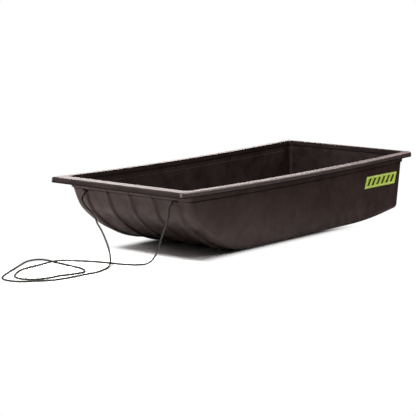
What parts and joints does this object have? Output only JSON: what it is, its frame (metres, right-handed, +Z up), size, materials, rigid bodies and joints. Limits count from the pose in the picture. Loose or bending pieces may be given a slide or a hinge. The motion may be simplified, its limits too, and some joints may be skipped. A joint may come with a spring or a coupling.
{
  "type": "ice fishing sled",
  "caption": "Open moulded utility sled with an upturned nose, turned-down rim, runner ridges underneath and a tow rope knotted through the nose.",
  "frame": {"origin": "centre of the sled's footprint on the ground, under the middle of the tub", "axes": "+X towards the nose, +Y across to the sled's left as seen from behind, +Z up"},
  "size_m": [1.8503, 0.6, 0.2538],
  "materials": {
    "tub_plastic": "satin moulded polyethylene, faintly mottled",
    "rope": "braided cord",
    "decal": "lime vinyl"
  },
  "bodies": {
    "root": {"tub": "tub_plastic", "tow_rope": "rope", "knot_left": "rope", "knot_right": "rope", "label_left": "decal", "label_right": "decal"}
  },
  "joints": []
}
